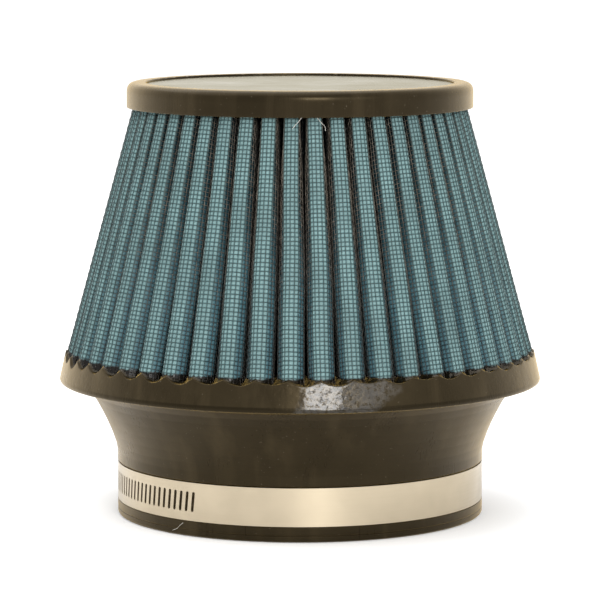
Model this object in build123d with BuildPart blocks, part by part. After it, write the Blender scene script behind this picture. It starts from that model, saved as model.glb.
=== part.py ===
"""Conical clamp-on air filter: pleated cotton-gauze cone moulded between an end cap and a base flange.

Millimetres, +Z up along the filter's axis, origin at the centre of the flange's bottom face.
Polar angles are measured from +X towards +Y, and the filter's front is at 270 degrees (-Y).
"""

from build123d import *
import os
from math import atan, cos, degrees, pi, radians, sin, sqrt

os.makedirs("parts", exist_ok=True)

# Base flange: slip-on collar, coved neck and base ring, one urethane moulding
BORE_R = 63.5  # slips over a 5 in (127 mm) tube
COLLAR_R = 67.7
BORE_TOP_Z = 44.0
BORE_FLARE = 0.8
BORE_FLARE_HEIGHT = 4.0
LEAD_IN = 1.0
BAND_GROOVE = (5.35, 19.85)  # lowest and highest z of the clamp's groove
GROOVE_DEPTH = 0.7
MOULD_LINE_Z = 2.3
MOULD_LINE_DEPTH = 0.25
COLLAR_FOOT_CHAMFER = 0.8
COLLAR_TOP_Z = 22.7
NECK_WAIST = [(69.2, 29.0), (72.6, 37.0), (75.4, 42.3)]  # radius and height of points of the cove
NECK_TOP_R, NECK_TOP_Z = 79.2, 47.4
NECK_TOP_SLOPE = 1.1
NECK_TO_RING = 3.0
RING_CORNER_R = 89.2  # where the wall would meet the underside if the edge weren't rounded
RING_TOP_R, RING_TOP_Z = 86.8, 59.7
RING_UNDERSIDE_Z = 49.1
RING_EDGE_RADIUS = 1.2
RING_TOP_EDGE_RADIUS = 0.4

# End cap and its blank badge
CAP_R = 63.7
CAP_Z = (150.1, 159.3)
CAP_EDGE_RADIUS = 3.5
BADGE_RECESS_R = 56.7
BADGE_RECESS_DEPTH = 1.4
RECESS_LIP_RADIUS = 0.4
BADGE_THICKNESS = 0.65
BADGE_GAP = 0.3
BADGE_EDGE_RADIUS = 0.25

# Pleated pack: every layer is a pyramid-like shell whose faces meet at the cone's apex
PLEATS = 50
PACK_Z = (57.0, 154.0)  # both ends stand inside the mouldings
CREST_R = 86.83  # at the pack's foot
APEX_Z = 373.5
PLEAT_DEPTH = 19.5
FIRST_PLEAT = -3.0  # degrees from the front
PLEAT_STRAY = 1.5  # degrees; hand-spread pleats stand a little wider at the front than at the sides
STRAY_WAVES, STRAY_START = 2.5, 8.0
CREST_EDGE, VALLEY_EDGE = 0.27, 0.43  # parts of a pitch from the crest's middle
SCREEN_THICKNESS = 0.35
GAUZE_THICKNESS = 0.28
GAUZE_LAYERS = 4
LAYER_GAP = 0.05

# Clip that closes the pack into a ring, over one inner fold at the back
CLIP_THICKNESS = 0.5
CLIP_LEG = 4.0
CLIP_GAP = 0.25
CLIP_Z = (60.5, 148.5)

# Worm-drive clamp
BAND_THICKNESS = 0.6
BAND_WIDTH = 13.8
BAND_CLEARANCE = 0.08
BAND_Z = sum(BAND_GROOVE) / 2 - 0.1
SADDLE_THICKNESS = 0.6
SADDLE_CLEARANCE = 0.1
SLOT_PITCH_ANGLE = 2.343
SLOT_LENGTH, SLOT_WIDTH = 7.3, 1.2
SLOT_CUT_FROM_R, SLOT_CUT_LENGTH = COLLAR_R - 3.0, 8.0
FIRST_SLOT = 235.6  # polar angle of the slot nearest the front
SLOTS_TO_WORM = 49
SLOTS_PAST_WORM = 10
TAIL_PLAIN_ANGLE = 3.0
TAIL_CORNER_RADIUS = 3.0
FIXED_END_ANGLE = 12.0  # how far the band's fixed end runs on below the housing's far side
RAMP_ANGLES = (17.0, 45.0)  # where the strip climbs on to its own fixed end, from the worm

WORM_R, WORM_CORE_R = 4.6, 3.1
WORM_BITE = 0.5  # how deep the thread stands in the slots
WORM_HALF_LENGTH = 6.3
THREAD_TIP, THREAD_ROOT = 0.45, 1.3
THREAD_TRIM_R = 5.5  # of the disc that cuts the thread to the worm's length
JOURNAL_R = 2.43
JOURNAL_HOLE_R = 2.5
HEX_ACROSS_FLATS = 8.0
HEX_LENGTH = 5.0
HEAD_FLANGE_R, HEAD_FLANGE_THICKNESS = 4.5, 0.8
HEAD_START = 9.4
DRIVER_SLOT_WIDTH, DRIVER_SLOT_DEPTH = 1.3, 2.0
RETAINER_GAP, RETAINER_LIP, RETAINER_THICKNESS = 0.4, 0.6, 0.7

HOUSING_HALF_LENGTH = 7.5
HOUSING_WALL = 0.9
HOUSING_CLEARANCE = 0.3
PASSAGE_SIDE_GAP = 0.25  # on each side of the strip
SEAT_GAP = 0.02  # between the housing's feet and the saddle
HOUSING_FOOT_BURIED = 1.0  # how far it is modelled into the saddle before it is trimmed to it
BARREL_SKIRT, SHOULDER_RISE = 1.2, 0.7

# Worked out from the driving dimensions
PLEAT_PITCH = 360 / PLEATS
band_inner_r = COLLAR_R - GROOVE_DEPTH + BAND_CLEARANCE
saddle_inner_r = COLLAR_R + SADDLE_CLEARANCE
saddle_outer_r = saddle_inner_r + SADDLE_THICKNESS
tail_inner_r = saddle_outer_r + BAND_CLEARANCE
tail_outer_r = tail_inner_r + BAND_THICKNESS
tail_lift = tail_inner_r - band_inner_r
worm_axis_r = tail_outer_r - WORM_BITE + WORM_R
worm_angle = FIRST_SLOT - SLOTS_TO_WORM * SLOT_PITCH_ANGLE
worm_pitch = radians(SLOT_PITCH_ANGLE) * (tail_outer_r - WORM_BITE / 2)
slot_lean = degrees(atan(worm_pitch / (2 * pi * (WORM_R - WORM_BITE / 2))))
tail_angle = worm_angle - SLOTS_PAST_WORM * SLOT_PITCH_ANGLE - TAIL_PLAIN_ANGLE
passage_half_width = BAND_WIDTH / 2 + PASSAGE_SIDE_GAP
housing_half_width = passage_half_width + HOUSING_WALL


def finish(builder, label):
    """Name a finished piece and write it out."""
    builder.part.label = label
    export_step(builder.part, f"parts/{label}.step")


def polar(radius, angle):
    """A point of a horizontal sketch, from its radius and its polar angle in degrees."""
    return radius * cos(radians(angle)), radius * sin(radians(angle))


def radial_plane(angle, z=0.0):
    """A plane through the axis that faces outwards at a polar angle, with its own y upwards."""
    outwards = (*polar(1, angle), 0)
    along = (*polar(1, angle + 90), 0)
    return Plane(origin=(0, 0, z), x_dir=along, z_dir=outwards)


# ---------------------------------------------------------------- base flange
def make_base_flange():
    groove_low, groove_high = BAND_GROOVE
    groove_r = COLLAR_R - GROOVE_DEPTH
    flare_r = BORE_R + BORE_FLARE
    with BuildPart() as base_flange:
        with BuildSketch(Plane.XZ):
            with BuildLine():
                collar = Polyline(
                    (BORE_R, BORE_TOP_Z),
                    (BORE_R, LEAD_IN),
                    (BORE_R + LEAD_IN, 0),
                    (COLLAR_R - COLLAR_FOOT_CHAMFER, 0),
                    (COLLAR_R, COLLAR_FOOT_CHAMFER),
                    (COLLAR_R, MOULD_LINE_Z - MOULD_LINE_DEPTH),
                    (COLLAR_R - MOULD_LINE_DEPTH, MOULD_LINE_Z),
                    (COLLAR_R, MOULD_LINE_Z + MOULD_LINE_DEPTH),
                    (COLLAR_R, groove_low),
                    (groove_r, groove_low),
                    (groove_r, groove_high),
                    (COLLAR_R, groove_high),
                    (COLLAR_R, COLLAR_TOP_Z),
                )
                neck = Spline(
                    collar @ 1,
                    *NECK_WAIST,
                    (NECK_TOP_R, NECK_TOP_Z),
                    tangents=[(0, 1), (NECK_TOP_SLOPE, 1)],
                )
                Polyline(
                    neck @ 1,
                    (NECK_TOP_R + NECK_TO_RING, RING_UNDERSIDE_Z),
                    (RING_CORNER_R, RING_UNDERSIDE_Z),
                    (RING_TOP_R, RING_TOP_Z),
                    (flare_r, RING_TOP_Z),
                    (flare_r, BORE_TOP_Z + BORE_FLARE_HEIGHT),
                    (BORE_R, BORE_TOP_Z),
                )
            make_face()
        revolve(axis=Axis.Z)
        lower_rim = base_flange.edges().filter_by(
            lambda edge: edge.center(CenterOf.BOUNDING_BOX).Z < RING_UNDERSIDE_Z + 1
            and edge.radius > RING_CORNER_R - 1
            if edge.geom_type == GeomType.CIRCLE
            else False
        )
        fillet(lower_rim, RING_EDGE_RADIUS)
        top_rim = base_flange.edges().filter_by(
            lambda edge: edge.center(CenterOf.BOUNDING_BOX).Z > RING_TOP_Z - 0.01
            and edge.radius > RING_TOP_R - 0.1
            if edge.geom_type == GeomType.CIRCLE
            else False
        )
        fillet(top_rim, RING_TOP_EDGE_RADIUS)
    finish(base_flange, "base_flange")


# ---------------------------------------------------------------- end cap and badge
def make_end_cap():
    low, high = CAP_Z
    with BuildPart() as end_cap:
        with BuildSketch(Plane.XY.offset(low)):
            Circle(CAP_R)
        extrude(amount=high - low)
        fillet(end_cap.edges().group_by(Axis.Z)[-1], CAP_EDGE_RADIUS)
        with BuildSketch(Plane.XY.offset(high)):
            Circle(BADGE_RECESS_R)
        extrude(amount=-BADGE_RECESS_DEPTH, mode=Mode.SUBTRACT)
        rim = end_cap.edges().filter_by(GeomType.CIRCLE).group_by(Axis.Z)[-1].sort_by(SortBy.RADIUS)[0]
        fillet(rim, RECESS_LIP_RADIUS)
    finish(end_cap, "end_cap")


def make_badge():
    floor = CAP_Z[1] - BADGE_RECESS_DEPTH
    with BuildPart() as badge:
        with BuildSketch(Plane.XY.offset(floor)):
            Circle(BADGE_RECESS_R - BADGE_GAP)
        extrude(amount=BADGE_THICKNESS)
        fillet(badge.edges().group_by(Axis.Z)[-1], BADGE_EDGE_RADIUS)
    finish(badge, "badge_disc")


# ---------------------------------------------------------------- pleated pack
def pack_scale(z):
    """Size of the pack's outline at a height, as a part of its size at the foot."""
    return (APEX_Z - z) / (APEX_Z - PACK_Z[0])


def pleat_angle(place):
    """Polar angle of a place counted in pleats from the front one."""
    turn = (FIRST_PLEAT + place * PLEAT_PITCH + 180) % 360 - 180
    fade = cos(radians(turn / 2)) ** 2
    return 270 + turn + PLEAT_STRAY * fade * sin(radians(STRAY_WAVES * (turn + STRAY_START)))


def pleat_outline(scale):
    """Corners of the pack's outer face, four to each pleat."""
    corners = []
    for pleat in range(PLEATS):
        for share, drop in (
            (-VALLEY_EDGE, PLEAT_DEPTH),
            (-CREST_EDGE, 0),
            (CREST_EDGE, 0),
            (VALLEY_EDGE, PLEAT_DEPTH),
        ):
            corners.append(polar((CREST_R - drop) * scale, pleat_angle(pleat + share)))
    return corners


def pleat_section(z, depth):
    """The area inside the pack's outer face at a height, moved in by depth at the foot's scale."""
    scale = pack_scale(z)
    with BuildSketch() as section:
        with BuildLine():
            Polyline(*pleat_outline(scale), close=True)
        make_face()
        if depth:
            offset(amount=-depth * scale, kind=Kind.INTERSECTION)
    return section.sketch


def make_pleated_layer(label, depth, thickness):
    """One layer of the pack: a thin pleated shell that starts depth below the outer face."""
    with BuildPart() as layer:
        for z in PACK_Z:
            with BuildSketch(Plane.XY.offset(z)):
                add(pleat_section(z, depth))
                add(pleat_section(z, depth + thickness), mode=Mode.SUBTRACT)
        loft(ruled=True, clean=False)
    finish(layer, label)


def make_pleated_pack():
    """Outer screen, gauze layers and inner screen, each just inside the one before."""
    layers = [("outer_screen", SCREEN_THICKNESS)]
    layers += [(f"gauze_layer_{number + 1}", GAUZE_THICKNESS) for number in range(GAUZE_LAYERS)]
    layers += [("inner_screen", SCREEN_THICKNESS)]
    depth = 0.0
    for label, thickness in layers:
        make_pleated_layer(label, depth, thickness)
        depth += thickness + LAYER_GAP
    return depth


def make_seam_clip(pack_depth):
    """A channel along the inside of one fold: its web lies inwards, its two legs up the fold's flanks."""
    fold_r = CREST_R - PLEAT_DEPTH - pack_depth
    valley_half = radians((0.5 - VALLEY_EDGE) * PLEAT_PITCH) * (CREST_R - PLEAT_DEPTH)
    crest_half = radians((0.5 - CREST_EDGE) * PLEAT_PITCH) * CREST_R
    flank_spread = (crest_half - valley_half) / PLEAT_DEPTH * CLIP_LEG
    inner_half = valley_half + flank_spread + pack_depth + CLIP_GAP
    outer_half = inner_half + CLIP_THICKNESS
    web_r = fold_r - CLIP_GAP
    fold_angle = pleat_angle((PLEATS + 1) / 2)
    with BuildPart() as clip:
        for z in CLIP_Z:
            scale = pack_scale(z)
            corners = [
                (web_r - CLIP_THICKNESS, -outer_half),
                (web_r - CLIP_THICKNESS, outer_half),
                (web_r + CLIP_LEG, outer_half),
                (web_r + CLIP_LEG, inner_half),
                (web_r, inner_half),
                (web_r, -inner_half),
                (web_r + CLIP_LEG, -inner_half),
                (web_r + CLIP_LEG, -outer_half),
            ]
            sketch_plane = Plane(origin=(0, 0, z), x_dir=(*polar(1, fold_angle), 0), z_dir=(0, 0, 1))
            with BuildSketch(sketch_plane):
                with BuildLine():
                    Polyline(*[(x * scale, y * scale) for x, y in corners], close=True)
                make_face()
        loft(ruled=True)
    finish(clip, "seam_clip")


# ---------------------------------------------------------------- worm-drive clamp
def strip_face(lift):
    """Points of one face of the strip where it climbs on to its own fixed end."""
    low, high = RAMP_ANGLES
    steps = 8
    points = []
    for step in range(steps + 1):
        share = step / steps
        rise = tail_lift * (3 * share**2 - 2 * share**3)
        points.append(polar(band_inner_r + lift + rise, worm_angle + high - share * (high - low)))
    return points


def make_clamp_band():
    """One strip wound a little over one turn, so its slotted tail lies on its fixed end."""
    low, high = RAMP_ANGLES
    fixed_end = worm_angle + FIXED_END_ANGLE
    first_turn = worm_angle + high - fixed_end - 360
    with BuildPart() as band:
        with BuildSketch(Plane.XY.offset(BAND_Z - BAND_WIDTH / 2)):
            with BuildLine():
                ends = []
                for lift in (0, BAND_THICKNESS):
                    base_r = band_inner_r + lift
                    turn = CenterArc((0, 0), base_r, fixed_end, first_turn)
                    start_tangent = polar(1, worm_angle + high - 90)
                    end_tangent = polar(1, worm_angle + low - 90)
                    Spline(*strip_face(lift), tangents=[start_tangent, end_tangent])
                    tail = CenterArc(
                        (0, 0), base_r + tail_lift, worm_angle + low, tail_angle - worm_angle - low
                    )
                    ends.append((turn @ 0, tail @ 1))
                Line(ends[0][0], ends[1][0])
                Line(ends[0][1], ends[1][1])
            make_face()
        extrude(amount=BAND_WIDTH)
        tail_corners = band.edges().filter_by(
            lambda edge: edge.length < BAND_THICKNESS * 1.1
            and abs(edge.center().X - polar(tail_inner_r + BAND_THICKNESS / 2, tail_angle)[0]) < 0.5
            and edge.center().Y > 0
        )
        fillet(tail_corners, TAIL_CORNER_RADIUS)
        slots = SLOTS_TO_WORM + SLOTS_PAST_WORM + 1
        slot_angles = [FIRST_SLOT - number * SLOT_PITCH_ANGLE for number in range(slots)]
        with BuildSketch(*[radial_plane(angle, BAND_Z).offset(SLOT_CUT_FROM_R) for angle in slot_angles]):
            SlotOverall(SLOT_LENGTH, SLOT_WIDTH, rotation=90 - slot_lean)
        extrude(amount=SLOT_CUT_LENGTH, mode=Mode.SUBTRACT)
    finish(band, "clamp_band")


def make_clamp_saddle():
    """Curved plate under the tail, which the housing's feet stand on."""
    half_angle = degrees(HOUSING_HALF_LENGTH / saddle_outer_r)
    with BuildPart() as saddle:
        with BuildSketch(Plane.XY.offset(BAND_Z - housing_half_width)):
            with BuildLine():
                inner = CenterArc((0, 0), saddle_inner_r, worm_angle - half_angle, 2 * half_angle)
                outer = CenterArc((0, 0), saddle_outer_r, worm_angle - half_angle, 2 * half_angle)
                Line(inner @ 0, outer @ 0)
                Line(inner @ 1, outer @ 1)
            make_face()
        extrude(amount=2 * housing_half_width)
    finish(saddle, "clamp_saddle")


def worm_plane(along):
    """Cross-section of the worm: x outwards from the filter's axis, y downwards, at a place along it."""
    frame = radial_plane(worm_angle, BAND_Z)
    centre = frame.origin + frame.z_dir * worm_axis_r + frame.x_dir * along
    return Plane(origin=centre, x_dir=frame.z_dir, z_dir=frame.x_dir)


def make_clamp_housing():
    """Barrel over the worm, open to the tail below it, with a bearing hole in each end wall."""
    barrel_inner_r = WORM_R + HOUSING_CLEARANCE
    barrel_outer_r = barrel_inner_r + HOUSING_WALL
    foot = saddle_inner_r - worm_axis_r - HOUSING_FOOT_BURIED
    passage_top = tail_outer_r + HOUSING_CLEARANCE - worm_axis_r
    end_wall = HOUSING_HALF_LENGTH - HOUSING_WALL
    length = 2 * HOUSING_HALF_LENGTH
    with BuildPart() as housing:
        with BuildSketch(worm_plane(-HOUSING_HALF_LENGTH)):
            with BuildLine():
                Polyline(
                    (0, barrel_outer_r),
                    (-BARREL_SKIRT, barrel_outer_r),
                    (passage_top + SHOULDER_RISE, housing_half_width),
                    (foot, housing_half_width),
                    (foot, -housing_half_width),
                    (passage_top + SHOULDER_RISE, -housing_half_width),
                    (-BARREL_SKIRT, -barrel_outer_r),
                    (0, -barrel_outer_r),
                )
                ThreePointArc((0, -barrel_outer_r), (barrel_outer_r, 0), (0, barrel_outer_r))
            make_face()
        extrude(amount=length)
        with BuildSketch(worm_plane(-HOUSING_HALF_LENGTH)):
            with Locations((foot, 0)):
                Rectangle(2 * (passage_top - foot), 2 * passage_half_width)
            Circle(JOURNAL_HOLE_R)
        extrude(amount=length, mode=Mode.SUBTRACT)
        with BuildSketch(worm_plane(-end_wall)):
            Circle(barrel_inner_r)
            with Locations((passage_top / 2 - 0.5, 0)):
                Rectangle(-passage_top + 1, 2 * barrel_inner_r)
        extrude(amount=2 * end_wall, mode=Mode.SUBTRACT)
        with BuildSketch(Plane.XY.offset(BAND_Z - 2 * BAND_WIDTH)):
            Circle(saddle_outer_r + SEAT_GAP)
        extrude(amount=4 * BAND_WIDTH, mode=Mode.SUBTRACT)
    finish(housing, "clamp_housing")


def make_worm_thread():
    """Right-hand helical rib of the worm, with one of its turns centred over the middle slot."""
    turns_each_way = int(WORM_HALF_LENGTH / worm_pitch) + 1
    embed = 0.2
    with BuildPart() as thread:
        with BuildLine() as path:
            Helix(pitch=worm_pitch, height=2 * turns_each_way * worm_pitch, radius=WORM_CORE_R)
        with BuildSketch(Plane(origin=path.line @ 0, x_dir=(1, 0, 0), z_dir=path.line % 0)):
            with BuildLine():
                Polyline(
                    (-embed, -THREAD_ROOT / 2),
                    (WORM_R - WORM_CORE_R, -THREAD_TIP / 2),
                    (WORM_R - WORM_CORE_R, THREAD_TIP / 2),
                    (-embed, THREAD_ROOT / 2),
                    close=True,
                )
            make_face()
        sweep(path=path.line, is_frenet=True)
    frame = worm_plane(-turns_each_way * worm_pitch)
    towards_strip = Plane(origin=frame.origin, x_dir=-frame.x_dir, z_dir=frame.z_dir)
    return towards_strip.from_local_coords(thread.part)


def make_clamp_screw():
    hex_r = HEX_ACROSS_FLATS / sqrt(3)
    stub_end = HOUSING_HALF_LENGTH + RETAINER_GAP
    worm_thread = make_worm_thread()
    with BuildPart() as screw:
        add(worm_thread)
        with BuildSketch(worm_plane(-WORM_HALF_LENGTH)):
            Circle(THREAD_TRIM_R)
        extrude(amount=2 * WORM_HALF_LENGTH, mode=Mode.INTERSECT)
        with BuildSketch(worm_plane(-WORM_HALF_LENGTH)):
            Circle(WORM_CORE_R)
        extrude(amount=2 * WORM_HALF_LENGTH)
        with BuildSketch(worm_plane(-HEAD_START)):
            Circle(JOURNAL_R)
        extrude(amount=HEAD_START + stub_end)
        with BuildSketch(worm_plane(stub_end)):
            Circle(JOURNAL_R + RETAINER_LIP)
        extrude(amount=RETAINER_THICKNESS)
        with BuildSketch(worm_plane(-HEAD_START)):
            Circle(HEAD_FLANGE_R)
        extrude(amount=-HEAD_FLANGE_THICKNESS)
        with BuildSketch(worm_plane(-HEAD_START - HEAD_FLANGE_THICKNESS)):
            RegularPolygon(hex_r, 6)
        extrude(amount=-HEX_LENGTH)
        with BuildSketch(worm_plane(-HEAD_START - HEAD_FLANGE_THICKNESS - HEX_LENGTH)):
            Rectangle(3 * hex_r, DRIVER_SLOT_WIDTH)
        extrude(amount=DRIVER_SLOT_DEPTH, mode=Mode.SUBTRACT)
    finish(screw, "clamp_screw")


make_base_flange()
make_end_cap()
make_badge()
make_seam_clip(make_pleated_pack())
make_clamp_band()
make_clamp_saddle()
make_clamp_housing()
make_clamp_screw()
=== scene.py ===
"""Looks of a conical clamp-on air filter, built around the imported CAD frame.

Metres, in the frame's own axes. The filter stands on its flange with its axis along +Z and its front
towards -Y. Lengths that are easier to read in millimetres are written as a number times MM.
"""

import math
from functools import partial

import bpy
import numpy as np
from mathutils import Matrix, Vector, noise


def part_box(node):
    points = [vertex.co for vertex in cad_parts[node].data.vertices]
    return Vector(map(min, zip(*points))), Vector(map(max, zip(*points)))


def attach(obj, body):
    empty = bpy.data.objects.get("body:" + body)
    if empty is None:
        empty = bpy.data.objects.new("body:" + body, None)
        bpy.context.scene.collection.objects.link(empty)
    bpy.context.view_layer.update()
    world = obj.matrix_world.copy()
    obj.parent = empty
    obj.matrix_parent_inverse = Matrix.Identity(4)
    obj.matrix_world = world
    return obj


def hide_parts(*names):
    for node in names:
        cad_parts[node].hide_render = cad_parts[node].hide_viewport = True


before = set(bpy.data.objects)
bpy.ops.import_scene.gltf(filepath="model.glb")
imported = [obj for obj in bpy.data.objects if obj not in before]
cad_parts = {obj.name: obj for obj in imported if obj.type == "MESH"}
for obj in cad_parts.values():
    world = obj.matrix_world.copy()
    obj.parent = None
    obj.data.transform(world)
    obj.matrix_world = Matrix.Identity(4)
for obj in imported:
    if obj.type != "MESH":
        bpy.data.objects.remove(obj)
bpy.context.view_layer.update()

MM = 0.001
TAU = 2 * math.pi

# ---------------------------------------------------------------- sizes taken from the frame
cap_low, cap_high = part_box("end_cap")
pack_low, pack_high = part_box("outer_screen")
badge_low, badge_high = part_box("badge_disc")

RING_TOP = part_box("base_flange")[1].z
PACK_FOOT = pack_low.z
CREST_R = (pack_high.y - pack_low.y) / 2

# The pleated cone: every straight line of it runs to one apex
APEX_Z = 373.5 * MM
PLEATS = 50
FIRST_PLEAT = -3.0  # degrees from the front
PLEAT_STRAY = 1.5  # degrees; hand-spread pleats stand a little wider at the front than at the sides
STRAY_WAVES, STRAY_START = 2.5, 8.0  # waves round the cone, and where they start, in degrees
PLEAT_DEPTH = 19.5 * MM
HALF_PITCH = math.pi / PLEATS
CREST_HALF_WIDTH = 2.7 * MM  # of the flat, bright face of a pleat
BELLY_AT_CAP, BELLY_BELOW, BELLY_FOOT = 2.65 * MM, 4.0 * MM, 4.2 * MM  # half widths a little deeper in
BELLY_DEPTH = 4.6 * MM
BELLY_ROOM = 0.9  # the part of its share of the circle that a pleat's belly may fill
SPLAY_HEIGHT = 32 * MM  # how far below the cap the pleats have spread to their full width
VALLEY_HALF_WIDTH = 0.55 * MM
CREST_WOBBLE, CREST_LEAN = 0.45 * MM, -0.12 * MM  # how far crests stray sideways, and all lean
WEFT_SLOPE = CREST_R / (APEX_Z - PACK_FOOT)  # the level wires run square to the sloping crests

# Woven wire screens and the cotton between them
WIRE_R = 0.115 * MM
WIRE_LIFT = 0.13 * MM  # how far a wire rises or sinks at a crossing
WIRE_PITCH_ROUND = 1.47 * MM
WIRE_PITCH_UP = 1.5 * MM
WIRES_EACH_SIDE = 7
INNER_WIRES_EACH_SIDE = 5
INNER_LAYERS = (("gauze_layer_2", 1.05 * MM), ("gauze_layer_3", 1.2 * MM), ("gauze_layer_4", 1.35 * MM))
INNER_SCREEN_DEPTH = 1.52 * MM
PLEATS_PER_PIECE = 5
WEAVE_PERIOD = 64  # from one pleat's crest to the next in the weave's coordinates, in wires
WEAVE_SHIFT = 0.37  # of a wire, from one pleat's weave to the next
BURIED = 4.5 * MM  # how far the sheets run on inside the ring and the cap
OVERRUN = 7 * MM  # rows fall away from the crest, so they start as high as this inside the cap
SHOULDER = 0.95 * MM  # how much further a pleat's right shoulder stands out than its left, low down
BLEED_UP = 1.25 * MM  # how far the urethane shows in the mesh above the ring

# Stray cotton hairs, each through a few places (radius in mm, degrees from the front, height in mm)
FIBRE_R = 0.055 * MM
FIBRES = (
    ((63.0, 0.7, 150.6), (64.9, -0.2, 149.2), (65.3, -1.5, 147.6), (65.2, -2.4, 146.3)),
    ((62.6, 5.0, 150.8), (64.6, 6.2, 149.0), (65.2, 7.6, 147.2), (65.0, 7.9, 145.6)),
    ((67.8, -38.0, 4.6), (68.2, -39.2, 3.4), (68.0, -40.4, 2.2), (67.9, -42.3, 1.3)),
)

# Mouldings, in mm
BORE_R, BORE_TOP = 63.5, 44
CHAMBER_R = 64.3
COLLAR_R = 67.7
GROOVE_R, GROOVE_LOW, GROOVE_HIGH = 67.0, 5.35, 19.85  # the strap's seat
PARTING_Z, PARTING_DEPTH = 2.3, 0.25  # a fine line round the collar's foot
NECK = (
    (COLLAR_R, 23.5),
    (68.3, 26.5),
    (69.6, 30.3),
    (71.2, 34.1),
    (73.2, 38.2),
    (75.4, 42.3),
    (77.3, 45.2),
    (79.7, 47.7),
)
NECK_TOP_R, NECK_TOP = 82.6, 49.3
JOIN_Z = 52  # the neck and the ring run into each other here, out of sight
RING_FOOT_R, RING_FOOT, RING_TOP_R = 89.2, 49.1, 86.8
POOL_R, POOL_THICKNESS = 66.4, 4.7  # the ring's inner edge
CAP_R, RECESS_R, RECESS_DEPTH = 63.7, 56.7, 1.4

# The ring's skin
WALL_TOP_R = 86.4 * MM
RING_SHADE_EDGE_Z = 51.4 * MM  # painted shade darkens the wall's lower edge below this, where it turns under
RIM_PEAK = 0.55 * MM  # how high the rim peaks against each crest
RIM_DIP, RIM_DIP_LEFT, RIM_DIP_STRAY = 1.15, 2.2, 0.9  # mm that it dips between them, more to the left
RIM_RISE = 6.2 * MM  # the height of wall that takes up the peaks and dips
RIM_EDGE = 1.1 * MM
POOL_DEPTH = 1.9 * MM  # the urethane behind the wall lies this much lower
MENISCUS, MENISCUS_REACH = 2.5 * MM, 0.55 * MM  # and climbs the pleats' feet

WET_PATCH = (0.014, -0.086, 0.054)  # where the ring's skin cured glossy and pebbled
WET_REACH = 0.032
WET_TURN, WET_SPREAD = math.radians(278), 0.26
MASK_SHARPNESS = 1500.0  # a mask's edge on the ring is about 1 / this wide, in metres
BLEED_SHARPNESS = 500.0
SOAKED = (0.006, 0.005, 0.004)  # mesh and cotton soaked in urethane

# Studio
CAMERA_PLACE = (0, -1.2768, 0.2304)
CAMERA_TILT = 0.11847  # radians down from level
CAMERA_LENS, CAMERA_SENSOR = 208.3, 36
WORLD_STRENGTH = 1.08
FLOOR_HALF, FLOOR_DROP = 6.0, 0.2 * MM
LIGHT_AIM = (0, 0, 0.08)
LIGHTS = (  # name, place and size in metres, power in watts
    ("key_light", (0.27, -1.45, 0.62), (0.46, 0.5), 10.5),
    ("side_card", (0.82, -1.15, 0.55), (0.7, 0.5), 1.9),
    ("top_light", (-0.45, 0.1, 1.65), (2.2, 2.2), 22.0),
)


def cone_scale(z):
    """Size of the pack's outline at a height, as a part of its size at its foot."""
    return (APEX_Z - z) / (APEX_Z - PACK_FOOT)


# ---------------------------------------------------------------- mesh helpers
def add_mesh(name, points, quads, material, body="filter", uv=None):
    """A smooth mesh object from numpy points and quads, riding on a body."""
    mesh = bpy.data.meshes.new(name)
    points = np.asarray(points, dtype=np.float32).reshape(-1, 3)
    quads = np.asarray(quads, dtype=np.int32).reshape(-1, 4)
    mesh.vertices.add(len(points))
    mesh.vertices.foreach_set("co", points.ravel())
    mesh.loops.add(quads.size)
    mesh.loops.foreach_set("vertex_index", quads.ravel())
    mesh.polygons.add(len(quads))
    mesh.polygons.foreach_set("loop_start", np.arange(0, quads.size, 4, dtype=np.int32))
    mesh.update(calc_edges=True)
    mesh.validate()
    mesh.shade_smooth()
    if uv is not None:
        layer = mesh.uv_layers.new(name="weave")
        layer.data.foreach_set("uv", np.asarray(uv, dtype=np.float32)[quads.ravel()].ravel())
    mesh.materials.append(material)
    piece = bpy.data.objects.new(name, mesh)
    bpy.context.scene.collection.objects.link(piece)
    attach(piece, body)
    return piece


def grid_quads(rows, columns, wrap=False):
    """Quads of a grid of points stored row by row; wrap joins the last column to the first."""
    last = columns if wrap else columns - 1
    row, column = np.meshgrid(np.arange(rows - 1), np.arange(last), indexing="ij")
    right = (column + 1) % columns
    here, above = row * columns, (row + 1) * columns
    return np.stack([here + column, here + right, above + right, above + column], axis=-1).reshape(-1, 4)


def turned(radius, angle, height):
    """Points from their radii, polar angles and heights."""
    return np.stack([radius * np.cos(angle), radius * np.sin(angle), height], axis=-1).reshape(-1, 3)


def smooth_noise(points, size, seed=0.0):
    """Blender's noise, one value in about -1 to 1 for each point, for lumps of about that size."""
    offset = Vector((seed, seed * 1.7, -seed))
    return np.array([noise.noise(Vector(point) / size + offset) for point in points])


def rounded_outline(corners, closed=True):
    """Points along an outline of corners (radius, height, rounding, longest step of the run after it)."""
    points, steps = [], []
    count = len(corners)
    for index, (x, y, rounding, step) in enumerate(corners):
        here = np.array((x, y))
        before = np.array(corners[index - 1][:2]) - here
        after = np.array(corners[(index + 1) % count][:2]) - here
        length_before, length_after = np.linalg.norm(before), np.linalg.norm(after)
        before, after = before / length_before, after / length_after
        turn = math.pi - math.acos(max(-1.0, min(1.0, float(before @ after))))
        reach = min(rounding * math.tan(turn / 2), 0.49 * length_before, 0.49 * length_after)
        if reach < 1e-7:
            points.append(here)
            steps.append(step)
            continue
        begin, end = here + before * reach, here + after * reach
        for share in np.linspace(0, 1, 7):
            points.append((1 - share) ** 2 * begin + 2 * share * (1 - share) * here + share**2 * end)
            steps.append(step)
    filled = [] if closed else [points[-1]]
    for index, point in enumerate(points if closed else points[:-1]):
        following = points[(index + 1) % len(points)]
        pieces = max(1, math.ceil(np.linalg.norm(following - point) / steps[index]))
        filled += [point + (following - point) * part / pieces for part in range(pieces)]
    return np.array(filled) if closed else np.array(filled[1:] + filled[:1])


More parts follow.
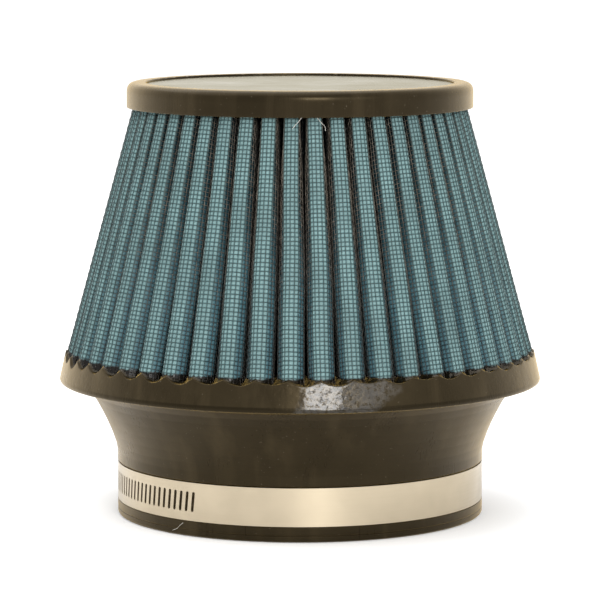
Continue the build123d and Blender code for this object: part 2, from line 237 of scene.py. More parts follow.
def lathe(name, outline, segments, material, relief=None, solid=False):
    """An outline turned round the axis. relief moves each point along its own radius and height.

    A solid's outline starts and ends beside the axis, and a fan of faces closes it there.
    """
    angles = np.arange(segments) * TAU / segments
    radius = np.repeat(outline[:, :1], segments, axis=1)
    height = np.repeat(outline[:, 1:], segments, axis=1)
    angle = np.repeat(angles[None, :], len(outline), axis=0)
    if relief is not None:
        out, up = relief(radius, angle, height)
        radius, height = radius + out, height + up
    points = turned(radius, angle, height)
    rows = len(outline)
    if not solid:
        quads = grid_quads(rows + 1, segments, wrap=True) % (rows * segments)
        return add_mesh(name, points, quads, material)
    quads = [grid_quads(rows, segments, wrap=True)]
    for pole, start, order in ((0, 0, (0, 3, 2, 1)), (1, (rows - 1) * segments, (0, 1, 2, 3))):
        corner = np.arange(0, segments, 2)
        centre = np.full_like(corner, rows * segments + pole - start)
        fan = np.stack([centre, corner, corner + 1, (corner + 2) % segments], axis=-1)
        quads.append(fan[:, order] + start)
    poles = [(0, 0, points[0, 2]), (0, 0, points[-1, 2])]
    return add_mesh(name, np.concatenate([points, poles]), np.concatenate(quads), material)


# ---------------------------------------------------------------- material helpers
class Shader:
    """A Principled material with a few short calls for the nodes that drive it."""

    def __init__(self, name, **values):
        self.material = bpy.data.materials.new(name)
        self.material.use_nodes = True
        self.tree = self.material.node_tree
        self.surface = self.tree.nodes["Principled BSDF"]
        for socket, value in values.items():
            self.surface.inputs[socket.replace("_", " ")].default_value = value

    def node(self, kind, inputs=None, **settings):
        made = self.tree.nodes.new(kind)
        for key, value in settings.items():
            setattr(made, key, value)
        for key, value in (inputs or {}).items():
            self.feed(value, made.inputs[key])
        return made

    def feed(self, value, socket):
        if isinstance(value, bpy.types.NodeSocket):
            self.tree.links.new(value, socket)
        else:
            socket.default_value = value

    def height(self):
        return self.node("ShaderNodeSeparateXYZ", {"Vector": self.place()}).outputs["Z"]

    def place(self, scale=(1, 1, 1)):
        """The object's own coordinates, scaled."""
        coordinates = self.node("ShaderNodeTexCoord").outputs["Object"]
        return self.node("ShaderNodeMapping", {"Vector": coordinates, "Scale": scale}).outputs["Vector"]

    def noise(self, scale, detail=3.0, roughness=0.5, where=None):
        inputs = {"Vector": where or self.place(), "Scale": scale, "Detail": detail, "Roughness": roughness}
        return self.node("ShaderNodeTexNoise", inputs).outputs["Fac"]

    def ramp(self, value, stops):
        """Colours or greys at stops of a value: [(position, grey or (r, g, b)), ...]."""
        made = self.node("ShaderNodeValToRGB", {"Fac": value})
        elements = made.color_ramp.elements
        while len(elements) < len(stops):
            elements.new(0.5)
        for element, (position, colour) in zip(elements, stops):
            element.position = position
            element.color = (*colour, 1) if isinstance(colour, tuple) else (colour, colour, colour, 1)
        return made.outputs["Color"]

    def mix(self, factor, first, second, blend="MIX"):
        made = self.node("ShaderNodeMix", data_type="RGBA", blend_type=blend)
        self.feed(factor, made.inputs[0])
        for value, index in ((first, 6), (second, 7)):
            if isinstance(value, tuple):
                value = (*value, 1)
            self.feed(value, made.inputs[index])
        return made.outputs[2]

    def maths(self, operation, first, second=0.0):
        return self.node("ShaderNodeMath", {0: first, 1: second}, operation=operation).outputs[0]

    def bump(self, height, strength, distance, normal=None):
        inputs = {"Height": height, "Strength": strength, "Distance": distance}
        made = self.node("ShaderNodeBump", inputs)
        if normal is not None:
            self.feed(normal, made.inputs["Normal"])
        return made.outputs["Normal"]

    def set(self, socket, value):
        self.feed(value, self.surface.inputs[socket])


def cured_patch(shader):
    """1 in the patch of the ring that cured glossy, 0 away from it, with a ragged edge."""
    away = shader.node("ShaderNodeVectorMath", {0: shader.place(), 1: WET_PATCH}, operation="DISTANCE")
    away = shader.maths("MULTIPLY", away.outputs["Value"], 1 / WET_REACH)
    away = shader.maths("ADD", away, shader.maths("MULTIPLY", shader.noise(70, 4), 0.9))
    return shader.ramp(away, [(0.85, 1.0), (1.2, 0.0)])


def behind_wall(shader, height):
    """1 on the ring's top, in among the pleats' feet, 0 on its wall and underside."""
    radius = shader.node("ShaderNodeVectorMath", {0: shader.place((1, 1, 0))}, operation="LENGTH")
    inwards = shader.maths("SUBTRACT", WALL_TOP_R, radius.outputs["Value"])
    inwards = shader.maths("MULTIPLY", inwards, MASK_SHARPNESS)
    inwards = shader.ramp(inwards, [(0.0, 0.0), (0.6, 1.0)])
    return shader.maths("MULTIPLY", inwards, shader.maths("GREATER_THAN", height, 50 * MM))


def urethane(name, base, rough, lumps, wet=False):
    """Dark moulded urethane: faint mottling, fine vertical scratches, dust specks and a warm, waxy sheen.

    wet adds what only the ring has: the glossy, pitted patch, the glossy pool behind its wall, darker as wet
    urethane and with painted shade among the pleats' feet, and painted shade that darkens its lower edge.
    """
    shader = Shader(
        name,
        Specular_IOR_Level=0.19,
        Specular_Tint=(1.0, 0.77, 0.44, 1),
        Sheen_Weight=0.44,
        Sheen_Roughness=0.38,
        Sheen_Tint=(1.0, 0.68, 0.22, 1),
    )
    mottle = shader.noise(60, 4)
    pale, streak = (tuple(times * part for part in base) for times in (2.2, 5))
    colour = shader.mix(shader.ramp(mottle, [(0.35, 0.0), (0.75, 0.6)]), base, pale)
    drips = shader.noise(120, 3, where=shader.place((1, 1, 0.06)))
    colour = shader.mix(shader.ramp(drips, [(0.5, 0.0), (0.75, 0.5)]), colour, streak)
    specks = shader.ramp(shader.noise(1500, 1), [(0.76, 0.0), (0.80, 0.45)])
    colour = shader.mix(specks, colour, (0.20, 0.17, 0.13))
    scratches = shader.noise(90, 3, where=shader.place((14, 14, 0.6)))
    low, high = rough
    wear = shader.maths("MULTIPLY", scratches, 0.4)
    wear = shader.maths("ADD", shader.maths("MULTIPLY", mottle, 0.6), wear)
    gloss = shader.ramp(wear, [(0.3, low), (0.7, high)])
    normal = shader.bump(shader.noise(130, 4), lumps, 0.4 * MM)
    if wet:
        height = shader.height()
        patch, pool = cured_patch(shader), behind_wall(shader, height)
        gloss = shader.mix(patch, gloss, (0.19, 0.19, 0.19))
        gloss = shader.mix(pool, gloss, (0.08, 0.08, 0.08))
        # painted shade: the wall's lower edge, where it turns under, is darkened nearly to black
        edge = shader.maths("MULTIPLY", shader.maths("SUBTRACT", RING_SHADE_EDGE_Z, height), MASK_SHARPNESS)
        edge = shader.ramp(edge, [(0.0, 0.0), (0.5, 0.85)])
        colour = shader.mix(edge, colour, (0.001, 0.0008, 0.0005))
        # partly painted shade: the pool among the pleats' feet is darker as glossy wet urethane, and darkened
        # further for the shade there
        colour = shader.mix(pool, colour, (0.002, 0.0018, 0.0015))
        pocked = shader.ramp(shader.noise(700, 4, 0.75), [(0.38, 0.12), (0.50, 0.75)])
        coat = shader.mix(patch, (0, 0, 0), pocked)
        shader.set("Coat Weight", shader.mix(pool, coat, (0.3, 0.3, 0.3)))
        shader.set("Coat Roughness", 0.11)
        pits = shader.ramp(shader.noise(480, 5, 0.6), [(0.36, 0.0), (0.47, 0.8), (0.75, 1.0)])
        normal = shader.bump(pits, shader.ramp(patch, [(0.0, 0.08), (1.0, 0.9)]), 0.4 * MM, normal)
    shader.set("Base Color", colour)
    shader.set("Roughness", gloss)
    normal = shader.bump(scratches, 0.05, 0.2 * MM, normal)
    shader.set("Normal", shader.bump(shader.noise(2600, 2), 0.06, 0.1 * MM, normal))
    return shader.material


def badge_plastic():
    """Smooth dark bronze inset, foiled plastic: faint haze and fine rubbing marks."""
    shader = Shader("badge_plastic", Metallic=1.0, Specular_Tint=(1.0, 0.95, 0.76, 1))
    haze = shader.noise(35, 4)
    shader.set("Base Color", shader.mix(haze, (0.15, 0.13, 0.095), (0.20, 0.175, 0.13)))
    shader.set("Roughness", shader.ramp(haze, [(0.3, 0.16), (0.7, 0.28)]))
    shader.set("Normal", shader.bump(shader.noise(700, 3), 0.02, 0.2 * MM))
    return shader.material


def lint():
    """Pale, slightly soiled cotton hair."""
    shader = Shader("lint", Sheen_Weight=0.3)
    soiled, clean = (0.62, 0.58, 0.50), (0.85, 0.82, 0.75)
    shader.set("Base Color", shader.ramp(shader.noise(900, 3), [(0.3, soiled), (0.7, clean)]))
    shader.set("Roughness", shader.ramp(shader.noise(1400, 2), [(0.3, 0.55), (0.7, 0.8)]))
    return shader.material


def off_crest(shader):
    """The weave's two coordinates, and how many wires a place lies from its crest, in tens of wires."""
    weave = shader.node("ShaderNodeUVMap", uv_map="weave").outputs["UV"]
    across = shader.node("ShaderNodeSeparateXYZ", {"Vector": weave}).outputs
    half = WEAVE_PERIOD / 2
    away = shader.node("ShaderNodeMath", {0: across["X"], 1: half, 2: -half}, operation="WRAP").outputs[0]
    return across, shader.maths("MULTIPLY", shader.maths("ABSOLUTE", away), 0.1)


def up_pack(shader, low, high):
    """0 below one height of the pleats and 1 above another, both as parts of their whole height."""
    height = shader.maths("SUBTRACT", shader.height(), RING_TOP)
    share = shader.maths("MULTIPLY", height, 1 / (cap_low.z - RING_TOP))
    return shader.ramp(share, [(low, 0.0), (high, 1.0)])


def soaked(shader):
    """1 where the urethane has wicked up into the pleats' feet, 0 above its ragged line."""
    height = shader.maths("SUBTRACT", shader.height(), RING_TOP + BLEED_UP - 1 * MM)
    height = shader.maths("MULTIPLY", height, BLEED_SHARPNESS)
    height = shader.maths("ADD", height, shader.maths("MULTIPLY", shader.noise(900, 3), 0.7))
    return shader.ramp(height, [(0.6, 1.0), (0.95, 0.0)])


def wire_coat():
    """Dark epoxy coat on the screen's wires, soaked at the feet. Down the flanks they are greyer: dark low
    down, and paler and warmer high up as a painted highlight; deep in the flanks painted shade makes them
    nearly black.
    """
    shader = Shader("wire_coat", Specular_IOR_Level=0.35, Specular_Tint=(1.0, 0.9, 0.78, 1))
    worn = shader.noise(420, 3)
    crest = shader.ramp(worn, [(0.35, (0.022, 0.045, 0.046)), (0.7, (0.05, 0.085, 0.085))])
    # painted highlight: high up the flank wires are paler and warmer, where light catches them
    painted_lit_flank = shader.ramp(worn, [(0.35, (0.05, 0.043, 0.034)), (0.7, (0.20, 0.17, 0.135))])
    dim = shader.ramp(worn, [(0.35, (0.018, 0.026, 0.028)), (0.7, (0.055, 0.066, 0.066))])
    flank = shader.mix(up_pack(shader, 0.15, 0.7), dim, painted_lit_flank)
    _, away = off_crest(shader)
    colour = shader.mix(shader.ramp(away, [(0.18, 0.0), (0.24, 1.0)]), crest, flank)
    # painted shade: deep in the flanks the wires are nearly black
    colour = shader.mix(shader.ramp(away, [(0.38, 0.0), (0.52, 1.0)]), colour, (0.012, 0.012, 0.011))
    colour = shader.mix(soaked(shader), colour, SOAKED)
    shader.set("Base Color", colour)
    gloss = shader.ramp(worn, [(0.3, 0.30), (0.75, 0.5)])
    shader.set("Roughness", shader.mix(soaked(shader), gloss, (0.12, 0.12, 0.12)))
    shader.set("Normal", shader.bump(shader.noise(5200, 2), 0.25, 0.05 * MM))
    return shader.material


def bright_wire():
    """Epoxy-coated bright wire of the inner screen."""
    shader = Shader("inner_wire_coat", Metallic=0.85)
    worn = shader.noise(420, 3)
    shader.set("Base Color", shader.ramp(worn, [(0.35, (0.30, 0.31, 0.31)), (0.7, (0.52, 0.53, 0.53))]))
    shader.set("Roughness", shader.ramp(worn, [(0.3, 0.28), (0.75, 0.5)]))
    shader.set("Normal", shader.bump(shader.noise(5200, 2), 0.25, 0.05 * MM))
    return shader.material


def gauze_cotton(name, crest, side, deep):
    """Oiled cotton: each opening of the screen shows a puff crossed by its own threads, paler in its middle
    and darker by the wires with painted shade; down the flanks painted shade darkens it, most near the cap,
    and deep in the valleys it is painted nearly black.
    """
    shader = Shader(name, Specular_IOR_Level=0.2)
    weave, away = off_crest(shader)
    puff, thread = None, None
    for axis, count in (("X", 5.3), ("Y", 4.6)):  # threads to each opening
        wave = shader.maths("ABSOLUTE", shader.maths("SINE", shader.maths("MULTIPLY", weave[axis], math.pi)))
        puff = wave if puff is None else shader.maths("MULTIPLY", puff, wave)
        fine = shader.maths("MULTIPLY", weave[axis], math.pi * count)
        fine = shader.maths("ABSOLUTE", shader.maths("SINE", fine))
        thread = fine if thread is None else shader.maths("MULTIPLY", thread, fine)
    # painted shade: high up, under the cap, the flanks darken to a third of their colour
    flank = shader.mix(up_pack(shader, 0.35, 0.95), side, tuple(0.3 * part for part in side))
    # painted shade: away from the crest the cotton takes the darker, bluer side colour
    face = shader.mix(shader.ramp(away, [(0.16, 0.0), (0.27, 1.0)]), crest, flank)
    # painted shade: deep in the valleys the cotton is painted nearly black
    face = shader.mix(shader.ramp(away, [(0.40, 0.0), (0.58, 1.0)]), face, deep)
    # painted shade: the cotton is darker by the wires, for their shadows on it, so each opening's middle is
    # paler
    shaded = shader.mix(1.0, face, (0.36, 0.50, 0.54), blend="MULTIPLY")
    colour = shader.mix(shader.ramp(puff, [(0.0, 0.0), (0.3, 0.45), (0.8, 1.0)]), shaded, face)
    stain = shader.noise(55, 4)
    colour = shader.mix(shader.ramp(stain, [(0.4, 0.0), (0.75, 0.3)]), colour, deep)
    fibre = shader.noise(1700, 4, 0.6)
    paler = shader.mix(1.0, colour, (1.7, 1.6, 1.6), blend="MULTIPLY")
    colour = shader.mix(shader.ramp(fibre, [(0.45, 0.0), (0.8, 0.8)]), colour, paler)
    colour = shader.mix(soaked(shader), colour, SOAKED)
    shader.set("Base Color", colour)
    gloss = shader.ramp(fibre, [(0.3, 0.42), (0.7, 0.7)])
    shader.set("Roughness", shader.mix(soaked(shader), gloss, (0.15, 0.15, 0.15)))
    dry = shader.ramp(soaked(shader), [(0.0, 0.33), (1.0, 0.05)])
    normal = shader.bump(thread, dry, 0.08 * MM)
    shader.set("Normal", shader.bump(fibre, dry, 0.06 * MM, normal))
    return shader.material


def stainless(name, colour, rough, grain):
    """Rolled stainless strip: grain lines round the loop, faint smears and tiny pits."""
    shader = Shader(name, Metallic=1.0, Anisotropic=0.6, Anisotropic_Rotation=0.25)
    smear = shader.noise(45, 3)
    dull = tuple(0.86 * part for part in colour)
    shader.set("Base Color", shader.mix(shader.ramp(smear, [(0.3, 0.0), (0.75, 1.0)]), colour, dull))
    lines = shader.noise(40, 5, 0.7, where=shader.place((1, 1, grain)))
    low, high = rough
    blend = shader.maths("ADD", shader.maths("MULTIPLY", smear, 0.5), shader.maths("MULTIPLY", lines, 0.5))
    shader.set("Roughness", shader.ramp(blend, [(0.35, low), (0.65, high)]))
    shader.set("Normal", shader.bump(lines, 0.06, 0.05 * MM))
    tangent = shader.node("ShaderNodeTangent", direction_type="RADIAL", axis="Z")
    shader.set("Tangent", tangent.outputs["Tangent"])
    return shader.material


def plated(name, colour):
    """Zinc-plated steel with a slightly mottled, satin surface."""
    shader = Shader(name, Metallic=1.0)
    mottle = shader.noise(600, 4)
    dull = tuple(0.72 * part for part in colour)
    shader.set("Base Color", shader.mix(shader.ramp(mottle, [(0.35, 0.0), (0.7, 1.0)]), colour, dull))
    shader.set("Roughness", shader.ramp(mottle, [(0.3, 0.25), (0.7, 0.45)]))
    shader.set("Normal", shader.bump(shader.noise(2200, 3), 0.12, 0.05 * MM))
    return shader.material


# ---------------------------------------------------------------- the pleated surface
def ease(share):
    """0 to 1 with a soft start and end."""
    share = np.clip(share, 0, 1)
    return share * share * (3 - 2 * share)


def pleat_angle(place):
    """Polar angle, in radians, of a place counted in pleats from the front one."""
    turn = FIRST_PLEAT + place * 360 / PLEATS
    folded = (turn + 180) % 360 - 180
    fade = math.cos(math.radians(folded / 2)) ** 2
    stray = PLEAT_STRAY * fade * math.sin(math.radians(STRAY_WAVES * (folded + STRAY_START)))
    return math.radians(270 + turn + stray)


def smooth_curve(corners, steps):
    """A Catmull-Rom curve through corners, steps points to each span."""
    corners = np.array(corners)
    padded = np.concatenate([2 * corners[:1] - corners[1:2], corners, 2 * corners[-1:] - corners[-2:-1]])
    share = np.linspace(0, 1, steps, endpoint=False)[:, None]
    spans = []
    for before, start, end, after in zip(padded, padded[1:], padded[2:], padded[3:]):
        cubic = 3 * (start - end) + after - before
        square = 2 * before - 5 * start + 4 * end - after
        spans.append(start + 0.5 * share * (end - before + share * (square + share * cubic)))
    return np.concatenate([*spans, corners[-1:]])


def pleat_section(z):
    """Half a pleat at a height, from its crest to its valley: tangential places and depths."""
    scale = cone_scale(z)
    crest_r, depth = CREST_R * scale, PLEAT_DEPTH * scale
    spread = ease((cap_low.z - z) / SPLAY_HEIGHT)
    low_down = np.clip((cap_low.z - z) / (cap_low.z - PACK_FOOT), 0, 1)
    belly = BELLY_AT_CAP + (BELLY_BELOW - BELLY_AT_CAP) * spread + (BELLY_FOOT - BELLY_BELOW) * low_down
    belly = min(belly, BELLY_ROOM * HALF_PITCH * (crest_r - BELLY_DEPTH))
    core = min(CREST_HALF_WIDTH, 0.97 * belly)
    valley = VALLEY_HALF_WIDTH * scale
    flank_end = (crest_r - depth) * math.tan(HALF_PITCH) - valley
    bend = depth - 1.2 * valley
    steps = 7
    corners = [
        (-0.5 * core, 0.05 * core),  # past the middle, only to lead the curve in
        (0, 0),
        (0.5 * core, 0.05 * core),
        (0.86 * core, 0.22 * core),
        (core, 0.5 * core),
        (core + 0.62 * (belly - core), 0.5 * core + 1.5 * MM),
        (belly, BELLY_DEPTH),
        (0.5 * (belly + flank_end), 0.5 * (BELLY_DEPTH + bend)),
        (flank_end, bend),
        (flank_end + 0.4 * valley, depth - 0.25 * valley),
        (flank_end + valley, depth),
    ]
    return smooth_curve(corners, steps)[steps:]


class PleatedSurface:
    """Tables of the pleat's section over height and run along the sheet, read by interpolation."""

    low, rise, level_count = 44 * MM, 1 * MM, 118
    stride, run_count = 0.1 * MM, 290

    def __init__(self):
        levels = self.low + self.rise * np.arange(self.level_count)
        runs = self.stride * np.arange(self.run_count)
        rows = []
        self.total = []
        for z in levels:
            across, inwards = pleat_section(z).T
            run = np.concatenate([[0], np.cumsum(np.hypot(np.diff(across), np.diff(inwards)))])
            side, turn_in = np.gradient(across, run), np.gradient(inwards, run)
            length = np.hypot(side, turn_in)
            values = (across, inwards, turn_in / length, side / length)
            rows.append([np.interp(runs, run, value) for value in values])
            self.total.append(run[-1])
        self.table = np.array(rows).transpose(1, 0, 2)
        self.levels = levels

    def whole_run(self, z):
        return np.interp(z, self.levels, self.total)

    def read(self, z, run):
        """Tangential place, depth, and the outward normal's two parts."""
        row = np.clip((z - self.low) / self.rise, 0, self.table.shape[1] - 1.001)
        column = np.clip(run / self.stride, 0, self.table.shape[2] - 1.001)
        i, j = row.astype(int), column.astype(int)
        down, along = row - i, column - j
        near = self.table[:, i, j] * (1 - along) + self.table[:, i, j + 1] * along
        far = self.table[:, i + 1, j] * (1 - along) + self.table[:, i + 1, j + 1] * along
        return near * (1 - down) + far * down


surface = PleatedSurface()


def pleat_wobble(pleat, z):
    """How far a crest strays sideways and outwards at a height, as hand-folded pleats do."""
    held = 12 * MM  # near the ring and the cap the mouldings hold the crests straight
    fade = float(ease((z - RING_TOP) / held) * ease((cap_low.z - z) / held))
    side = noise.noise(Vector((pleat * 3.1, z / (38 * MM), 0.3)))
    out = noise.noise(Vector((pleat * 2.3, z / (50 * MM), 5.1)))
    return CREST_LEAN + CREST_WOBBLE * (0.4 + 0.6 * fade) * side, 0.3 * CREST_WOBBLE * fade * out


def pleat_points(pleat, runs, crest_heights, lifts):
    """Points of the pleated face, and its normals, for a grid of rows that start at heights on the crest.

    runs is (rows, columns): how far along the sheet from the crest's middle; lifts is how far out from it.
    """
    centre = pleat_angle(pleat)
    room = [(pleat_angle(pleat + turn) - centre) / (turn * 2 * HALF_PITCH) for turn in (-1, 1)]
    outwards = np.array((math.cos(centre), math.sin(centre), 0))
    sideways = np.array((-math.sin(centre), math.cos(centre), 0))
    where, side = np.abs(runs), np.sign(runs)
    start = np.repeat(crest_heights[:, None], runs.shape[1], axis=1)
    height = start - WEFT_SLOPE * surface.read(start, where)[1]
    across, inwards, normal_side, normal_out = surface.read(height, where)
    stray = np.array([pleat_wobble(pleat, z) for z in crest_heights])
    share = inwards / (PLEAT_DEPTH * cone_scale(height))
    across = across * (1 + (np.where(side < 0, *room) - 1) * share)
    low_down = ease((cap_low.z - height) / (0.7 * (cap_low.z - RING_TOP)))
    across = across + np.where(side > 0, 1, -0.25) * SHOULDER * low_down * np.sin(math.pi * np.sqrt(share))
    fade = (1 - share) ** 2
    n_side = normal_side * side
    place_side = across * side + n_side * lifts + stray[:, :1] * fade
    place_out = CREST_R * cone_scale(height) - inwards + normal_out * lifts + stray[:, 1:] * fade
    points = place_side[..., None] * sideways + place_out[..., None] * outwards
    points[..., 2] = height
    return points, n_side[..., None] * sideways + normal_out[..., None] * outwards


def crest_rows(pleat):
    """Heights on the crest of rows half a wire pitch apart; every pleat's weave starts elsewhere."""
    stride = WIRE_PITCH_UP / 2
    start = RING_TOP - BURIED + (pleat * WEAVE_SHIFT) % 1 * WIRE_PITCH_UP
    rows = math.ceil((cap_low.z + OVERRUN - start) / stride)
    return start + np.arange(rows + rows % 2 + 1) * stride


def half_run(heights):
    """Length of the sheet from a crest to the valley beside it, at rows that start at heights on the crest."""
    return surface.whole_run(heights - WEFT_SLOPE * PLEAT_DEPTH * cone_scale(heights))


def over_under(half_steps, rows):
    """1 and -1 where an upright wire passes over or under a level one, 0 between the crossings."""
    rows = np.cos(math.pi / 2 * np.arange(rows))[:, None]
    return np.cos(math.pi / 2 * half_steps)[None, :] * rows


def tubes(centres, first, second, radius):
    """Closed four-sided tubes along rows of centres, given two directions across them. Points and quads."""
    arms = (first * radius, second * radius, -first * radius, -second * radius)
    rings = np.stack([centres + arm for arm in arms], axis=2)
    wires, length = centres.shape[:2]
    wire, place, side = np.meshgrid(*(np.arange(count) for count in (wires, length - 1, 4)), indexing="ij")
    base = (wire * length + place) * 4
    after = (side + 1) % 4
    walls = np.stack([base + side, base + after, base + 4 + after, base + 4 + side], axis=-1)
    walls = walls.reshape(-1, 4)
    ends = []
    for place, order in ((0, (3, 2, 1, 0)), (length - 1, (0, 1, 2, 3))):
        corner = (np.arange(wires) * length + place) * 4
        ends.append(np.stack([corner + k for k in order], axis=-1))
    return rings.reshape(-1, 3), np.concatenate([walls, *ends])


def pleat_wires(pleat):
    """Upright and level wires over one pleat, woven over and under each other."""
    heights = crest_rows(pleat)
    half_steps = np.arange(-2 * WIRES_EACH_SIDE, 2 * WIRES_EACH_SIDE + 1)
    runs = np.repeat(half_steps[None, :] * WIRE_PITCH_ROUND / 2, len(heights), axis=0)
    crossing = over_under(half_steps, len(heights))
    up = np.array((0, 0, 1.0))
    weave_up = np.arange(len(heights))[:, None] / 2
    places = np.stack(np.broadcast_arrays(half_steps / 2 + pleat * WEAVE_PERIOD, weave_up), axis=-1)
    points, quads, weave, total = [], [], [], 0
    for upright in (True, False):
        sign = 1 if upright else -1
        path, normal = pleat_points(pleat, runs, heights, sign * WIRE_LIFT * crossing)
        if upright:
            path, normal = path[:, ::2].transpose(1, 0, 2), normal[:, ::2].transpose(1, 0, 2)
            across, where = np.cross(up, normal), places[:, ::2].transpose(1, 0, 2)
        else:
            path, normal, where = path[::2], normal[::2], places[::2]
            across = np.broadcast_to(up, normal.shape)
        ring_points, ring_quads = tubes(path, normal, across, WIRE_R)
        points.append(ring_points)
        quads.append(ring_quads + total)
        weave.append(np.repeat(where.reshape(-1, 2), 4, axis=0))
        total += len(ring_points)
    return np.concatenate(points), np.concatenate(quads), np.concatenate(weave)


def pleat_gauze(pleat, depth, puff):
    """One pleat of the outer cotton: a grid that puffs out between the wires, with its weave coordinates."""
    heights = crest_rows(pleat)
    inner = np.arange(-2 * WIRES_EACH_SIDE, 2 * WIRES_EACH_SIDE + 1) * WIRE_PITCH_ROUND / 2
    edge = inner[-1]
    outer = edge + (half_run(heights)[:, None] - edge) * np.linspace(0, 1, 7)[None, 1:]
    inner = np.repeat(inner[None, :], len(heights), axis=0)
    runs = np.concatenate([-outer[:, ::-1], inner, outer], axis=1)
    across = runs / WIRE_PITCH_ROUND
    upwards = np.repeat((np.arange(len(heights)) / 2)[:, None], runs.shape[1], axis=1)
    open_cell = np.abs(np.sin(math.pi * across) * np.sin(math.pi * upwards))
    up_pleat = ease((heights - RING_TOP) / (cap_low.z - RING_TOP))[:, None]
    sunk = ease((np.abs(across) - 2.0) / 1.2) * (0.05 + 0.65 * up_pleat) * MM
    points, _ = pleat_points(pleat, runs, heights, -depth - sunk + puff * open_cell)
    uv = np.stack([across + pleat * WEAVE_PERIOD, upwards], axis=-1).reshape(-1, 2)
    return points.reshape(-1, 3), grid_quads(*runs.shape), uv


def pleat_layer(pleat, depth):
    """One pleat of a hidden cotton layer: a smooth sheet at a depth below the face, facing inwards."""
    heights = np.linspace(RING_TOP - BURIED, cap_low.z + BURIED, 25)
    runs = half_run(heights)[:, None] * np.linspace(-1, 1, 45)[None, :]
    points, _ = pleat_points(pleat, runs, heights, np.full(runs.shape, -depth))
    across = runs / WIRE_PITCH_ROUND + pleat * WEAVE_PERIOD
    upwards = np.repeat(heights[:, None] / WIRE_PITCH_UP, runs.shape[1], axis=1)
    uv = np.stack([across, upwards], axis=-1).reshape(-1, 2)
    return points.reshape(-1, 3), grid_quads(*runs.shape)[:, ::-1], uv


def valley_wires(valley, depth):
    """The inner screen round one valley, between a pleat and the next, seen from inside the cone."""
    heights = crest_rows(valley)
    half_steps = np.arange(-2 * INNER_WIRES_EACH_SIDE, 2 * INNER_WIRES_EACH_SIDE + 1)
    whole = half_run(heights)
    crossing = over_under(half_steps, len(heights))
    middle = 2 * INNER_WIRES_EACH_SIDE
    up = np.array((0, 0, 1.0))
    points, quads, total = [], [], 0
    for upright in (True, False):
        lifts = (1 if upright else -1) * WIRE_LIFT * crossing - depth
        halves = []
        for pleat, steps in ((valley, half_steps[: middle + 1]), (valley + 1, half_steps[middle:])):
            end = whole[:, None] if pleat == valley else -whole[:, None]
            runs = end + steps[None, :] * WIRE_PITCH_ROUND / 2
            columns = slice(0, middle + 1) if pleat == valley else slice(middle, None)
            halves.append(pleat_points(pleat, runs, heights, lifts[:, columns]))
        path = np.concatenate([halves[0][0], halves[1][0][:, 1:]], axis=1)
        normal = np.concatenate([halves[0][1], halves[1][1][:, 1:]], axis=1)
        if upright:
            path, normal = path[:, ::2].transpose(1, 0, 2), normal[:, ::2].transpose(1, 0, 2)
            across = np.cross(up, normal)
        else:
            path, normal = path[::2], normal[::2]
            across = np.broadcast_to(up, normal.shape)
        ring_points, ring_quads = tubes(path, normal, across, WIRE_R)
        points.append(ring_points)
        quads.append(ring_quads + total)
        total += len(ring_points)
    return np.concatenate(points), np.concatenate(quads)


def pleated_pieces(name, build, material, nodes):
    """Pieces of a few pleats each, all round the cone; the CAD nodes they replace are hidden once the first is
    made.
    """
    for first in range(0, PLEATS, PLEATS_PER_PIECE):
        points, quads, uvs, total = [], [], [], 0
        for pleat in range(first, first + PLEATS_PER_PIECE):
            made = build(pleat)
            points.append(made[0])
            quads.append(made[1] + total)
            uvs += [made[2]] if len(made) > 2 else []
            total += len(made[0])
        uv = np.concatenate(uvs) if uvs else None
        label = f"{name}_{first // PLEATS_PER_PIECE + 1:02d}"
        piece = add_mesh(label, np.concatenate(points), np.concatenate(quads), material, uv=uv)
        if first == 0:
            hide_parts(*nodes)


# ---------------------------------------------------------------- mouldings
def in_mm(corners):
    return [tuple(value * MM for value in corner) for corner in corners]


def collar_outline():
    """Section of the bore, the strap groove and the neck, up into the ring."""
    foot = [
        (BORE_R, BORE_TOP, 1, 3),
        (BORE_R, 1, 0.4, 1),
        (BORE_R + 1, 0, 0.3, 1),
        (COLLAR_R, 0, 0.9, 1),
        (COLLAR_R, PARTING_Z - PARTING_DEPTH, 0.1, 1),
        (COLLAR_R - PARTING_DEPTH, PARTING_Z, 0.1, 1),
        (COLLAR_R, PARTING_Z + PARTING_DEPTH, 0.1, 1),
        (COLLAR_R, GROOVE_LOW, 0.25, 1),
        (GROOVE_R, GROOVE_LOW, 0, 2),
        (GROOVE_R, GROOVE_HIGH, 0, 1),
        (COLLAR_R, GROOVE_HIGH, 0.3, 1),
    ]
    neck = [(radius, height, 4, 0.9) for radius, height in NECK]
    top = [
        (NECK_TOP_R, NECK_TOP, 1, 0.8),
        (NECK_TOP_R + 0.8, JOIN_Z, 0, 4),
        (CHAMBER_R, JOIN_Z, 0, 2),
        (CHAMBER_R, JOIN_Z - 4, 0.5, 2),
    ]
    return rounded_outline(in_mm(foot + neck + top))


def ring_outline():
    """Section of the potting ring that holds the pleats' feet. Its top is shaped by ring_relief."""
    top = RING_TOP / MM
    corners = [
        (72, JOIN_Z, 0, 4),  # this and the next lie inside the neck
        (80.6, RING_FOOT, 0, 1),
        (RING_FOOT_R, RING_FOOT, 1.2, 0.55),
        (RING_TOP_R, top, 0.6, 0.5),
        (POOL_R, top, 0, 3),
        (POOL_R, top - POOL_THICKNESS, 0, 4),
    ]
    return rounded_outline(in_mm(corners))


def collar_relief(radius, angle, height):
    """A barely uneven neck."""
    coarse = smooth_noise(turned(radius, angle, height), 9 * MM, 1.3).reshape(radius.shape)
    neck = (radius > (COLLAR_R + 0.1) * MM) & (height > 21 * MM) & (height < 49 * MM)
    return neck * 0.03 * MM * coarse, np.zeros_like(coarse)


